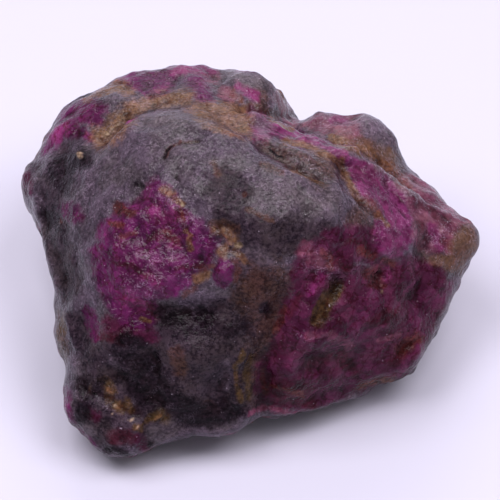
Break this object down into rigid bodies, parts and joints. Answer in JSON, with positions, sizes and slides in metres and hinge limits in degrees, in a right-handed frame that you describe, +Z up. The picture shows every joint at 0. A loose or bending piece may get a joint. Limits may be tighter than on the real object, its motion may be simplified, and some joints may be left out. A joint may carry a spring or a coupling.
{
  "type": "rough sapphire",
  "caption": "Rough sapphire: a worn, pitted lump of purple corundum grown in grey rock, with ridges, a groove and a flat underside to rest on.",
  "frame": {"origin": "on the table, under the middle of the stone's box", "axes": "+Z up from the flat underside, +X along the stone's length to its pointed tip, -Y towards the side that the picture shows"},
  "size_m": [0.0404, 0.0352, 0.0241],
  "materials": {
    "stone": null
  },
  "bodies": {
    "root": {"stone": "stone"}
  },
  "joints": []
}
